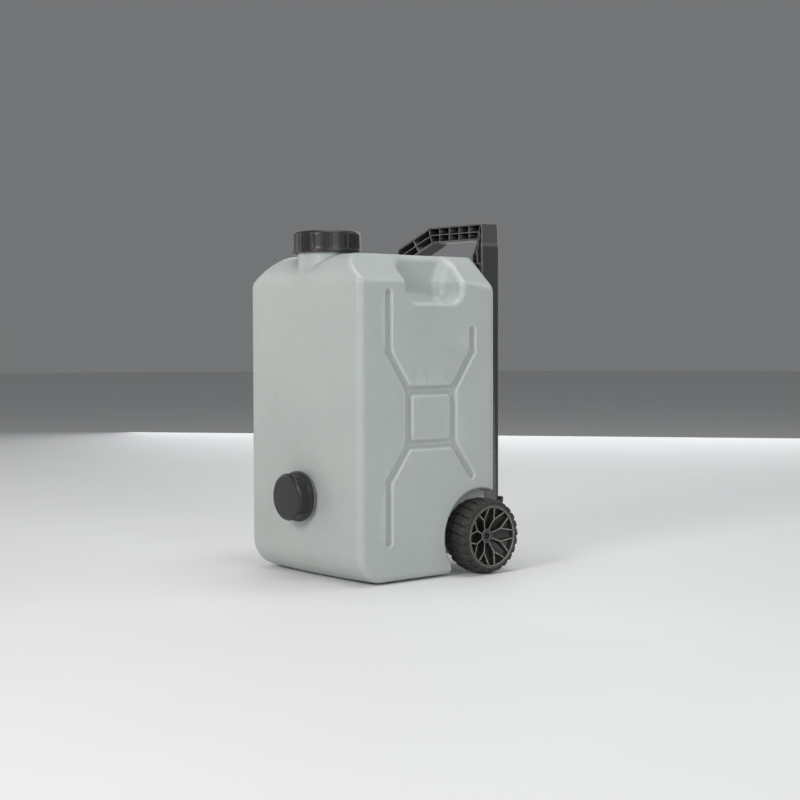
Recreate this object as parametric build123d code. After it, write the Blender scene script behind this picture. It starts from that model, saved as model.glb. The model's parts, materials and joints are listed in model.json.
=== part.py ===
from build123d import *
import math
import os

os.makedirs("parts", exist_ok=True)

# Wheeled waste-water tank. Millimetres, +Z up. The origin is on the flat base,
# in the middle of the tank body: +X and -X are the two embossed side faces,
# -Y is the front face with the drain cap, +Y is the back with handle and wheels.

# ---------------------------------------------------------------- driving sizes
TANK_X = 136.0            # half width of the body
TANK_Y = 134.0            # half depth of the body
TANK_Z = 480.0            # height of the body, without necks
SHOULDER_Z = 440.0        # where the side faces end and the top chamfers begin
TOP_X = 79.5              # half width of the flat top
FRONT_R = 45.0            # large rounding of the front, top and bottom
UPRIGHT_R = 15.0          # rounding of the four upright edges
SMALL_R = 10.0            # rounding of shoulders, base sides and back top edge
WALL = 3.2                # blow-moulded wall

RELIEF_DEPTH = 4.5        # embossed channel on each side face
RELIEF_W = 13.0
SCOOP_Y0, SCOOP_Y1 = -44.0, 66.0   # lifting scoop in each top side edge
SCOOP_Z = 409.0
SCOOP_X = 82.0
SCOOP_R = 42.0

AXLE_Y, AXLE_Z, AXLE_R = 100.0, 57.0, 4.0
ARCH_R = 70.6             # wheel arch, right across the back of the base
TYRE_R = 56.8
RIM_R = 47.2
WHEEL_IN, WHEEL_OUT = 114.0, 162.0
HUB_R = 10.4
HUB_FACE = 150.0
BORE_CLEAR = 0.08

FILL_Y = -86.7            # filler neck centre
FILL_R = 44.6
FILL_BORE = 39.0
FILL_TOP = 509.5
FILL_CAP_R = 51.0
FILL_CAP_Z0, FILL_CAP_Z1 = 482.0, 514.5
FILL_PITCH = 6.0

DRAIN_Z = 122.0           # drain neck centre, on the front face
DRAIN_R = 29.0
DRAIN_BORE = 24.0
DRAIN_END = -160.0
DRAIN_CAP_R = 35.0
DRAIN_RING_R = 37.5
DRAIN_CAP_Y0, DRAIN_CAP_Y1 = -140.5, -165.4
DRAIN_PITCH = 5.0

LEG_X0, LEG_X1 = 78.0, 102.0       # handle leg, inner and outer side
LEG_Y0, LEG_Y1 = 134.6, 170.0      # handle leg, front and back
LEG_Z0 = 46.0
BEND_OUT, BEND_IN = 500.0, 481.0   # height of the mitre, outer and inner side
BAR_Y0, BAR_Y1 = 168.0, 203.0
BAR_Z0, BAR_Z1 = 509.5, 536.0
BAR_XO, BAR_XI = 63.0, 54.0
SKIN = 3.0
HANDLE_TRAVEL = 300.0

GUIDE_Z0, GUIDE_Z1 = 362.0, 432.0
STOP_Z1 = GUIDE_Z0 - HANDLE_TRAVEL - 0.4  # the leg stops meet the guides at full travel
STOP_SCREW_Z = (LEG_Z0 + STOP_Z1) / 2


def save(shape, name):
    solids = shape.solids()
    out = solids[0] if len(solids) == 1 else Compound(children=list(solids))
    out.label = name
    export_step(out, f"parts/{name}.step")


def box(x0, x1, y0, y1, z0, z1):
    return Pos((x0 + x1) / 2, (y0 + y1) / 2, (z0 + z1) / 2) * Box(
        abs(x1 - x0), abs(y1 - y0), abs(z1 - z0)
    )


def rod(r, a, b, axis="Z", at=(0, 0)):
    """Cylinder of radius r from a to b along an axis; at = the other two coordinates."""
    h = abs(b - a)
    m = (a + b) / 2
    c = Cylinder(r, h)
    if axis == "Z":
        return Pos(at[0], at[1], m) * c
    if axis == "X":
        return Pos(m, at[0], at[1]) * Rot(0, 90, 0) * c
    return Pos(at[0], m, at[1]) * Rot(90, 0, 0) * c


def rounded(points, radii):
    """Planar face through points, with one corner radius for each point."""
    n = len(points)
    edges = []
    tangents = []
    for i, (p, r) in enumerate(zip(points, radii)):
        p = Vector(*p)
        a = (Vector(*points[i - 1]) - p).normalized()
        b = (Vector(*points[(i + 1) % n]) - p).normalized()
        half = math.acos(max(-1, min(1, a.dot(b)))) / 2
        if r <= 0:
            tangents.append((p, p, p))
            continue
        d = r / math.tan(half)
        centre = p + (a + b).normalized() * (r / math.sin(half))
        mid = centre + (p - centre).normalized() * r
        tangents.append((p + a * d, mid, p + b * d))
    for i in range(n):
        s, m, e = tangents[i]
        if (e - s).length > 1e-6:
            edges.append(ThreePointArc(s, m, e).edge())
        nxt = tangents[(i + 1) % n][0]
        if (nxt - e).length > 1e-6:
            edges.append(Line(e, nxt).edge())
    return make_face(Wire(edges))


# ---------------------------------------------------------------- tank shell
def tank_blank(t):
    """Body of the tank, inset by t: three rounded outlines intersected."""
    hx, hy, z0, z1 = TANK_X - t, TANK_Y - t, t, TANK_Z - t
    # the chamfer line from (TANK_X, SHOULDER_Z) to (TOP_X, TANK_Z), moved in by t
    nx, nz = TANK_Z - SHOULDER_Z, TANK_X - TOP_X
    length = math.hypot(nx, nz)
    nx, nz = nx / length, nz / length
    k = nx * TANK_X + nz * SHOULDER_Z - t
    zs = (k - nx * hx) / nz
    xt = (k - nz * z1) / nx
    r = max(SMALL_R - t, 2.0)
    front = rounded(
        [(hx, 0, z0), (hx, 0, zs), (xt, 0, z1), (-xt, 0, z1), (-hx, 0, zs), (-hx, 0, z0)],
        [r, r, r, r, r, r],
    )
    side = rounded(
        [(0, -hy, z0), (0, -hy, z1), (0, hy, z1), (0, hy, z0)],
        [FRONT_R - t, FRONT_R - t, r, r],
    )
    u = max(UPRIGHT_R - t, 2.0)
    plan = rounded(
        [(-hx, -hy, z0), (hx, -hy, z0), (hx, hy, z0), (-hx, hy, z0)], [u, u, u, u]
    )
    a = extrude(front, amount=300, dir=(0, 1, 0), both=True)
    b = extrude(side, amount=300, dir=(1, 0, 0), both=True)
    c = extrude(plan, amount=600, dir=(0, 0, 1))
    return a & b & c


def stroke(points, width, x0, x1):
    """Channel tool of round-ended runs in a plane of constant X."""
    out = None
    for p, q in zip(points, points[1:]):
        dy, dz = q[0] - p[0], q[1] - p[1]
        ln = math.hypot(dy, dz)
        run = Pos((x0 + x1) / 2, (p[0] + q[0]) / 2, (p[1] + q[1]) / 2) * Rot(
            math.degrees(math.atan2(dz, dy)), 0, 0
        ) * Box(x1 - x0, ln, width)
        out = run if out is None else out + run
    for p in points:
        out = out + rod(width / 2, x0, x1, "X", p)
    return out


RELIEF_RUNS = [
    [(-79.5, 421), (-79.5, 336), (-42.5, 282)],
    [(83.5, 368), (83.5, 336), (46, 282)],
    [(-79.5, 60), (-79.5, 147), (-42.5, 198)],
    [(82, 150), (46, 198)],
]


def relief(side, depth, grow):
    """The embossed hourglass channel with a raised square in the middle."""
    x0, x1 = TANK_X - depth, TANK_X + 20
    ring = box(x0, x1, -48.5 - grow, 51.5 + grow, 192 - grow, 287 + grow)
    ring = fillet(ring.edges().filter_by(Axis.X), 8 + grow)
    pad = box(x0 - 5, x1 + 5, -33.5 + grow, 36.5 - grow, 209 + grow, 270 - grow)
    tool = ring - pad
    for run in RELIEF_RUNS:
        tool = tool + stroke(run, RELIEF_W + 2 * grow, x0, x1)
    return tool if side > 0 else mirror(tool, about=Plane.YZ)


def scoop(side, grow):
    """Lifting scoop: a deep rounded notch in the top side edge."""
    x0, y0, y1, z0 = SCOOP_X - grow, SCOOP_Y0 - grow, SCOOP_Y1 + grow, SCOOP_Z - grow
    r = SCOOP_R + grow
    face = rounded(
        [(x0, y0, z0), (TANK_X + 40, y0, z0), (TANK_X + 40, y1, z0), (x0, y1, z0)],
        [r, 0, 0, r],
    )
    tool = extrude(face, amount=120, dir=(0, 0, 1))
    return tool if side > 0 else mirror(tool, about=Plane.YZ)


def notch(grow):
    return rod(ARCH_R + grow, -200, 200, "X", (AXLE_Y, AXLE_Z)) + box(
        -200, 200, AXLE_Y, 200, -30, AXLE_Z
    ) + box(-200, 200, AXLE_Y - 57.4 - grow, 200, -30, AXLE_Z - 33)


outer = tank_blank(0)
inner = tank_blank(WALL)
for s in (1, -1):
    outer = outer - relief(s, RELIEF_DEPTH, 0)
    inner = inner - relief(s, RELIEF_DEPTH + WALL, WALL)
    outer = outer - scoop(s, 0)
    inner = inner - scoop(s, WALL)
outer = outer - notch(0)
inner = inner - notch(WALL)

# necks, with their bores, and the bosses that hold the moulded-in inserts
fill_neck = rod(FILL_R, 440, FILL_TOP, "Z", (0, FILL_Y))
drain_neck = rod(DRAIN_R, DRAIN_END, -TANK_Y + 8, "Y", (0, DRAIN_Z))
tank = (outer + fill_neck + drain_neck) - inner
tank = tank - rod(FILL_BORE, 430, FILL_TOP + 5, "Z", (0, FILL_Y))
tank = tank - rod(DRAIN_BORE, DRAIN_END - 5, -TANK_Y + 20, "Y", (0, DRAIN_Z))
# short collar inside, so that each neck is closed round to the wall
tank = tank + (
    rod(FILL_R, 440, 470, "Z", (0, FILL_Y)) - rod(FILL_BORE, 430, 480, "Z", (0, FILL_Y))
)
tank = tank & (tank_blank(0) + fill_neck + drain_neck)
# flange round each wheel well, between the carrier and the wheel
CHEEK_X0, CHEEK_X1, CHEEK_R = 105.4, 109.0, 48.0
for s in (1, -1):
    cheek = rod(ARCH_R + 1.6, s * CHEEK_X0, s * CHEEK_X1, "X", (AXLE_Y, AXLE_Z)) - rod(
        CHEEK_R, s * (CHEEK_X0 - 5), s * (CHEEK_X1 + 5), "X", (AXLE_Y, AXLE_Z)
    )
    cheek = cheek & (box(-200, 200, 0, TANK_Y - 1, AXLE_Z, 200) + box(-200, 200, 0, AXLE_Y - 20, 30, 200))
    tank = tank + cheek

INSERT_R, INSERT_L = 4.5, 11.0
GUIDE_SCREW_Z = (377.0, 417.0)
BRACKET_SCREWS = [(-84.0, 100.0), (-30.0, 100.0), (30.0, 100.0), (84.0, 100.0)]
CEILING = AXLE_Z + ARCH_R
LEG_MID = (LEG_X0 + LEG_X1) / 2
for s in (1, -1):
    for z in GUIDE_SCREW_Z:
        tank = tank + rod(8.5, TANK_Y - 15, TANK_Y - 0.5, "Y", (s * LEG_MID, z))
        tank = tank - rod(INSERT_R, TANK_Y - INSERT_L, TANK_Y + 5, "Y", (s * LEG_MID, z))
for x, y in BRACKET_SCREWS:
    tank = tank + rod(8.5, CEILING - 0.5 + 0.3, CEILING + 15, "Z", (x, y))
    tank = tank - rod(INSERT_R, CEILING - 6, CEILING + INSERT_L, "Z", (x, y))
tank = tank.solids().sort_by(SortBy.VOLUME)[-1]
save(tank, "tank_shell")

# ---------------------------------------------------------------- screw caps
def screw_cap(r, ring_r, height, edge, ring_h, top, grooves, width, turn, bore):
    """Cap standing on z = 0 and opening downwards: narrow grip grooves round the side."""
    body = Cylinder(r, height, align=(Align.CENTER, Align.CENTER, Align.MIN))
    body = fillet(body.edges().group_by(Axis.Z)[-1], edge)
    body = body + Cylinder(ring_r, ring_h, align=(Align.CENTER, Align.CENTER, Align.MIN))
    body = body - Cylinder(bore, height - top, align=(Align.CENTER, Align.CENTER, Align.MIN))
    for i in range(grooves):
        a = turn + 360.0 / grooves * i
        body = body - Rot(0, 0, a) * Pos(r + 0.2, 0, ring_h + (height - ring_h - 2.4) / 2) * Box(
            2.4, width, height - ring_h - 2.4
        )
    return body


fcap = screw_cap(FILL_CAP_R - 0.9, FILL_CAP_R, FILL_CAP_Z1 - FILL_CAP_Z0, 5.2, 4.6, 3.0, 12, 5.0, -2.2, 48.0)
fcap = Pos(0, FILL_Y, FILL_CAP_Z0) * fcap
FILL_SEAL_TOP = FILL_CAP_Z1 - 3.0
fseal = rod(47.2, FILL_TOP + 0.3, FILL_SEAL_TOP - 0.1, "Z", (0, FILL_Y)) - rod(
    39.4, FILL_TOP - 3, FILL_SEAL_TOP + 3, "Z", (0, FILL_Y)
)
dcap = screw_cap(DRAIN_CAP_R, DRAIN_RING_R, DRAIN_CAP_Y0 - DRAIN_CAP_Y1, 4.4, 5.4, 3.0, 12, 3.4, -6.0, 32.4)
dcap = Pos(0, DRAIN_CAP_Y0, DRAIN_Z) * Rot(90, 0, 0) * dcap
dseal = rod(31.4, DRAIN_END - 0.3, DRAIN_CAP_Y1 + 3.1, "Y", (0, DRAIN_Z)) - rod(
    24.4, DRAIN_END + 3, DRAIN_CAP_Y1, "Y", (0, DRAIN_Z)
)
save(fcap, "filler_cap")
save(fseal, "filler_cap_seal")
save(dcap, "drain_cap")
save(dseal, "drain_cap_seal")

# ---------------------------------------------------------------- axle, wheels
GROOVE_X0, GROOVE_X1 = 142.4, 144.0
axle = rod(AXLE_R, -145.6, 145.6, "X", (AXLE_Y, AXLE_Z))
axle = chamfer(axle.edges().filter_by(GeomType.CIRCLE), 0.8)
for s in (1, -1):
    axle = axle - (
        rod(AXLE_R + 1, s * GROOVE_X0, s * GROOVE_X1, "X", (AXLE_Y, AXLE_Z))
        - rod(3.2, s * (GROOVE_X0 - 1), s * (GROOVE_X1 + 1), "X", (AXLE_Y, AXLE_Z))
    )
save(axle, "axle")


def turned(points):
    """Body of revolution about the axle from (x, r) points."""
    pts = [(x, AXLE_Y, AXLE_Z + r) for x, r in points]
    wire = Polyline(*pts, close=True)
    return revolve(make_face(wire), Axis((0, AXLE_Y, AXLE_Z), (1, 0, 0)), 360)


def rim_solid():
    """Rim, closed dished web, hub, and the eight forked spokes on the outer face."""
    barrel = turned([(WHEEL_IN, 43.4), (WHEEL_IN, RIM_R), (WHEEL_OUT - 1.2, RIM_R), (WHEEL_OUT, 46.0), (WHEEL_OUT, 42.6), (150, 42.6), (150, 43.4)])
    web = turned([(128.0, 4.6), (131.5, 4.6), (151.0, 43.6), (147.5, 43.6)])
    hub = turned([(106.6, 4.6), (106.6, 9.6), (128, 9.6), (131, HUB_R), (HUB_FACE - 0.7, HUB_R), (HUB_FACE, 9.7), (HUB_FACE, 4.6)])
    # spokes: eight ribs that fork towards the rim, under a dished front
    blades = None
    for k in range(8):
        a = math.radians(22.5 + 45 * k)
        fork = (27.0 * math.sin(a), 27.0 * math.cos(a))
        ends = [(44.0 * math.sin(a + d), 44.0 * math.cos(a + d)) for d in (math.radians(15.5), math.radians(-15.5))]
        start = (6.5 * math.sin(a), 6.5 * math.cos(a))
        for p, q in ((start, fork), (fork, ends[0]), (fork, ends[1])):
            dy, dz = q[0] - p[0], q[1] - p[1]
            ln = math.hypot(dy, dz)
            blade = Pos(146, AXLE_Y + (p[0] + q[0]) / 2, AXLE_Z + (p[1] + q[1]) / 2) * Rot(
                math.degrees(math.atan2(dz, dy)), 0, 0
            ) * Box(36, ln + 1.2, 1.9)
            blades = blade if blades is None else blades + blade
    between = turned([(129.5, 6.0), (HUB_FACE - 1.0, 6.0), (WHEEL_OUT - 0.8, 43.4), (149.0, 43.4)])
    spokes = blades & between
    rim = barrel + web + hub + spokes
    rim = rim - rod(AXLE_R + BORE_CLEAR, 100, 170, "X", (AXLE_Y, AXLE_Z))
    rim = rim - rod(5.9, GROOVE_X0 - 0.4, GROOVE_X1 + 0.4, "X", (AXLE_Y, AXLE_Z))
    rim = rim - rod(5.4, GROOVE_X1 + 0.9, 170, "X", (AXLE_Y, AXLE_Z))
    return rim


def tyre_solid():
    t = turned(
        [
            (WHEEL_IN, RIM_R), (WHEEL_IN, 51.0), (WHEEL_IN + 2.5, 53.8), (WHEEL_IN + 8, 55.8), (WHEEL_IN + 16, TYRE_R),
            (WHEEL_OUT - 16, TYRE_R), (WHEEL_OUT - 8, 55.8), (WHEEL_OUT - 2.5, 53.8), (WHEEL_OUT, 51.0), (WHEEL_OUT, RIM_R),
        ]
    )
    for k in range(24):
        g = Rot(15 * k, 0, 0) * Pos((WHEEL_IN + WHEEL_OUT) / 2, 0, TYRE_R) * Box(60, 3.2, 3.4)
        t = t - Pos(0, AXLE_Y, AXLE_Z) * g
    return t


rim_r = rim_solid()
tyre_r = tyre_solid()
clip_r = rod(5.3, GROOVE_X0 + 0.1, GROOVE_X1 - 0.1, "X", (AXLE_Y, AXLE_Z)) - rod(3.3, 140, 150, "X", (AXLE_Y, AXLE_Z))
clip_r = clip_r - box(140, 150, AXLE_Y - 1.6, AXLE_Y + 1.6, AXLE_Z - 12, AXLE_Z)
washer_r = rod(9.0, 104.6, 106.2, "X", (AXLE_Y, AXLE_Z)) - rod(4.2, 100, 110, "X", (AXLE_Y, AXLE_Z))
for name, piece in (("wheel", rim_r), ("tyre", tyre_r), ("wheel_clip", clip_r), ("wheel_washer", washer_r)):
    save(piece, f"{name}_right")
    save(mirror(piece, about=Plane.YZ), f"{name}_left")

# ---------------------------------------------------------------- axle carrier
# moulded saddle under the arch, open below, with ribs that carry the axle and
# two sockets behind it that the handle legs stand in
CAR_X = 104.0
CAR_R = ARCH_R - 0.4
profile = rod(CAR_R, -CAR_X, CAR_X, "X", (AXLE_Y, AXLE_Z)) & box(-CAR_X, CAR_X, 62, TANK_Y, 34, CEILING - 0.4)
hollow = (rod(CAR_R - 4, -CAR_X + 4, CAR_X - 4, "X", (AXLE_Y, AXLE_Z)) & box(-CAR_X, CAR_X, 66, TANK_Y - 4, 0, CEILING - 4.4))
carrier = profile - hollow
for x in (-90, -57, -20, 20, 57, 90):
    carrier = carrier + (box(x - 1.8, x + 1.8, 64, TANK_Y - 2, 36, CEILING - 2) & profile)
SOCK = 4.0
for s in (1, -1):
    x0, x1 = sorted((s * (LEG_X0 - SOCK), s * (LEG_X1 + 2.0)))
    carrier = carrier + box(x0, x1, TANK_Y - 2, LEG_Y1 + 6.5, LEG_Z0 - 5, 104)
    x0, x1 = sorted((s * (LEG_X0 - SOCK), s * (LEG_X1 + 2.0)))
    carrier = carrier + box(x0, x1, LEG_Y1 + 3.5, LEG_Y1 + 7.5, 100, 108)
for s in (1, -1):
    x0, x1 = sorted((s * (LEG_X0 - 0.5), s * (LEG_X1 + 0.5)))
    carrier = carrier - box(x0, x1, LEG_Y0 - 0.4, LEG_Y1 + 0.5, LEG_Z0 - 0.3, 130)
carrier = carrier + rod(9.0, -CAR_X, CAR_X, "X", (AXLE_Y, AXLE_Z))
carrier = carrier - rod(AXLE_R + 0.05, -CAR_X - 5, CAR_X + 5, "X", (AXLE_Y, AXLE_Z))
SCREW_SEAT = CEILING - 0.4 - 4.0
for x, y in BRACKET_SCREWS:
    carrier = carrier - rod(3.2, SCREW_SEAT - 6, CEILING + 2, "Z", (x, y))
    carrier = carrier - rod(6.6, AXLE_Z + 12, SCREW_SEAT, "Z", (x, y))
save(carrier, "axle_carrier")


def insert(at, z0, z1, axis):
    body = rod(INSERT_R - 0.02, z0, z1, axis, at)
    return body


def screw(at, head, tip, axis, r=3.0, head_r=5.6, head_h=3.4):
    """Pan-head screw with a hexagon socket: head side at head, point at tip."""
    d = 1 if tip > head else -1
    body = rod(head_r, head, head - d * head_h, axis, at) + rod(r, head - d * 0.5, tip, axis, at)
    return body


inserts, screws = [], []
for x, y in BRACKET_SCREWS:
    inserts.append(
        rod(INSERT_R - 0.02, CEILING + 0.6, CEILING + INSERT_L, "Z", (x, y))
        - rod(3.02, CEILING - 1, CEILING + 10.0, "Z", (x, y))
    )
    screws.append(screw((x, y), SCREW_SEAT, CEILING + 9.0, "Z"))
save(Compound(children=inserts), "carrier_inserts")
save(Compound(children=screws), "carrier_screws")

# ---------------------------------------------------------------- leg guides
guides, g_ins, g_scr = {}, [], []
for s, name in ((1, "right"), (-1, "left")):
    cx = s * LEG_MID
    g = box(cx - 4.6, cx + 4.6, TANK_Y, LEG_Y0 + SKIN + 1.0, GUIDE_Z0, GUIDE_Z1)
    g = g + box(cx - 8.6, cx + 8.6, LEG_Y0 + SKIN + 0.4, LEG_Y0 + SKIN + 9.0, GUIDE_Z0, GUIDE_Z1)
    for z in GUIDE_SCREW_Z:
        g = g - rod(3.1, TANK_Y - 2, LEG_Y0 + SKIN + 12, "Y", (cx, z))
        g = g - rod(5.8, LEG_Y0 + SKIN + 5.0, LEG_Y0 + SKIN + 12, "Y", (cx, z))
        g_ins.append(
            rod(INSERT_R - 0.02, TANK_Y - INSERT_L, TANK_Y - 0.05, "Y", (cx, z))
            - rod(3.02, TANK_Y - 10.0, TANK_Y + 2, "Y", (cx, z))
        )
        g_scr.append(screw((cx, z), LEG_Y0 + SKIN + 5.0, TANK_Y - 9.0, "Y", 3.0, 5.4, 3.2))
    save(g, f"leg_guide_{name}")
save(Compound(children=g_ins), "guide_inserts")
save(Compound(children=g_scr), "guide_screws")


# ---------------------------------------------------------------- pull handle
def section(kind):
    """Mitre sections of the handle as origin, across vector, depth vector (right side)."""
    if kind == "foot":
        o, i = (LEG_X1, LEG_Y0, LEG_Z0), (LEG_X0, LEG_Y0, LEG_Z0)
        d = LEG_Y1 - LEG_Y0
    elif kind == "bend":
        o, i = (LEG_X1, LEG_Y0, BEND_OUT), (LEG_X0, LEG_Y0, BEND_IN)
        d = LEG_Y1 - LEG_Y0
    else:
        o, i = (BAR_XO, BAR_Y0, BAR_Z1), (BAR_XI, BAR_Y0, BAR_Z0)
        d = BAR_Y1 - BAR_Y0
    o, i = Vector(*o), Vector(*i)
    return o, i - o, Vector(0, d, 0)


def flip(sec):
    o, a, d = sec
    return Vector(-o.X, o.Y, o.Z), Vector(-a.X, a.Y, a.Z), d


def cell(s0, s1, u0, u1, v0, v1, w0, w1):
    """Six-sided block between two sections: u along, v across, w depth, all as fractions."""
    wires = []
    for u in (u0, u1):
        o = s0[0] * (1 - u) + s1[0] * u
        a = s0[1] * (1 - u) + s1[1] * u
        d = s0[2] * (1 - u) + s1[2] * u
        pts = [o + a * v + d * w for v, w in ((v0, w0), (v1, w0), (v1, w1), (v0, w1))]
        wires.append(make_face(Polyline(*pts, close=True)))
    return loft(wires, ruled=True)


foot, bend, end = section("foot"), section("bend"), section("end")
chain = [foot, bend, end, flip(end), flip(bend), flip(foot)]
handle = None
for s0, s1 in zip(chain, chain[1:]):
    part = cell(s0, s1, 0, 1, 0, 1, 0, 1)
    handle = part if handle is None else handle + part
# legs: lipped channels that run on the guides
for s in (1, -1):
    c = s * LEG_MID
    handle = handle - box(c - 9.0, c + 9.0, LEG_Y0 + SKIN, LEG_Y1 - SKIN, LEG_Z0 - 5, 468)
    handle = handle - box(c - 5.0, c + 5.0, LEG_Y0 - 5, LEG_Y0 + SKIN + 1, LEG_Z0 - 5, 468)
# shoulders and grip bar: open towards the tank, two rows of ribbed cells
RIB = 1.6


def pockets(s0, s1, cols, length, across, depth, solid_ends):
    global handle
    fv, fw = SKIN / across, SKIN / depth
    rv = RIB / across / 2
    e = solid_ends / length
    step = (1 - 2 * e) / cols
    ru = RIB / length / 2
    for i in range(cols):
        u0 = e + step * i + (ru if i else 0)
        u1 = e + step * (i + 1) - (ru if i < cols - 1 else 0)
        for v0, v1 in ((fv, 0.5 - rv), (0.5 + rv, 1 - fv)):
            handle = handle - cell(s0, s1, u0, u1, v0, v1, -0.05, 1 - fw)


pockets(end, flip(end), 5, 2 * 58.5, BAR_Z1 - BAR_Z0, BAR_Y1 - BAR_Y0, 1.0)
for a, b in ((bend, end), (flip(bend), flip(end))):
    pockets(a, b, 2, 62.0, 27.0, 35.0, 1.0)
# holes for the screws of the leg stops, with the heads let into the back wall
for s in (1, -1):
    hole = rod(2.2, LEG_Y1 - SKIN - 1, LEG_Y1 - 1, "Y", (s * LEG_MID, STOP_SCREW_Z))
    hole = hole + rod(4.4, LEG_Y1 - 1.7, LEG_Y1 + 2, "Y", (s * LEG_MID, STOP_SCREW_Z))
    handle = handle - hole
save(handle, "pull_handle")

# leg stops: blocks in the feet of the legs that meet the guides at full travel
stop_screws = []
for s, name in ((1, "right"), (-1, "left")):
    c = s * LEG_MID
    stop = box(c - 8.8, c + 8.8, LEG_Y0 + SKIN + 0.2, LEG_Y1 - SKIN - 0.2, LEG_Z0, STOP_Z1)
    stop = stop - rod(2.02, LEG_Y1 - 22, LEG_Y1, "Y", (c, STOP_SCREW_Z))
    stop_screws.append(screw((c, STOP_SCREW_Z), LEG_Y1 - 1.7, LEG_Y1 - 20, "Y", 2.0, 4.2, 1.5))
    save(stop, f"leg_stop_{name}")
save(Compound(children=stop_screws), "stop_screws")
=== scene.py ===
import json
import math
import time
import bpy
import numpy as np
from mathutils import Matrix, Vector


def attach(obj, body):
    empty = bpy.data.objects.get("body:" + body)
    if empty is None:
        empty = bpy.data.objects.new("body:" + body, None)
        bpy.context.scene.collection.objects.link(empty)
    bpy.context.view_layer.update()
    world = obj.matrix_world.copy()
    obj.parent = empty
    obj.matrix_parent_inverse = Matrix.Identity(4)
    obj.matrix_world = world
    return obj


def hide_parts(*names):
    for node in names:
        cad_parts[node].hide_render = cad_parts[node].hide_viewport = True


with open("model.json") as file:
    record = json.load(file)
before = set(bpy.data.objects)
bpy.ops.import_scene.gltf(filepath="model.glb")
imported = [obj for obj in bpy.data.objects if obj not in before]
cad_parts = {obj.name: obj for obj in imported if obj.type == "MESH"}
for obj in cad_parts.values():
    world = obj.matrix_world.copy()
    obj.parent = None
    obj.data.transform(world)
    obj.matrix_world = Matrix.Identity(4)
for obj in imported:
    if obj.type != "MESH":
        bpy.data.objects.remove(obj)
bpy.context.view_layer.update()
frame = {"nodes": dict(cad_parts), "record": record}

T0 = time.time()
MM = 0.001


def note(text):
    print(f"[{time.time() - T0:6.1f}s] {text}", flush=True)


# ------------------------------------------------------------------ shaping tools
def rmax(a, b, r):
    """Intersection with a rounded edge of radius r."""
    return np.minimum(np.maximum(a, b), -r) + np.sqrt(
        np.maximum(a + r, 0) ** 2 + np.maximum(b + r, 0) ** 2
    )


def rmin(a, b, r):
    """Union with a fillet of radius r."""
    return -rmax(-a, -b, r)


def rmaxc(a, b, r, c):
    """Intersection with a circular edge of radius r where the two normals have dot product c."""
    u, v = a + r, b + r
    bent = (u > c * v) & (v > c * u)
    d = np.sqrt(np.maximum((u * u + v * v - 2 * c * u * v) / (1 - c * c), 0)) - r
    return np.where(bent, d, np.maximum(a, b))


def rise(a, b, r, c, za, zb):
    """Upward part of the unit normal of rmaxc(a, b, r, c), given that of a and of b."""
    u, v = a + r, b + r
    bent = (u > c * v) & (v > c * u)
    w = np.sqrt(np.maximum((u * u + v * v - 2 * c * u * v) / (1 - c * c), 1e-9))
    mixed = ((u - c * v) * za + (v - c * u) * zb) / ((1 - c * c) * w)
    return np.where(bent, mixed, np.where(a > b, za, zb))


def smin(a, b, k):
    h = np.clip(0.5 + 0.5 * (b - a) / k, 0, 1)
    return b + (a - b) * h - k * h * (1 - h)


def box2(px, py, x0, x1, y0, y1, r=0.0):
    qx = np.abs(px - (x0 + x1) / 2) - (x1 - x0) / 2 + r
    qy = np.abs(py - (y0 + y1) / 2) - (y1 - y0) / 2 + r
    return np.minimum(np.maximum(qx, qy), 0) + np.hypot(np.maximum(qx, 0), np.maximum(qy, 0)) - r


def seg2(px, py, a, b):
    ax, ay = a
    bx, by = b[0] - ax, b[1] - ay
    t = np.clip(((px - ax) * bx + (py - ay) * by) / (bx * bx + by * by), 0, 1)
    return np.hypot(px - ax - t * bx, py - ay - t * by)


def step(t):
    t = np.clip(t, 0, 1)
    return t * t * (3 - 2 * t)


def axis(*k):
    """Grid line positions: start, spacing, stop, spacing, stop ..."""
    out = [np.array([k[0]], float)]
    for i in range(1, len(k), 2):
        a, h, b = k[i - 1], k[i], k[i + 1]
        h = h * 1.0
        n = max(1, int(math.ceil((b - a) / h)))
        out.append(np.linspace(a, b, n + 1)[1:])
    return np.concatenate(out)


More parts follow.
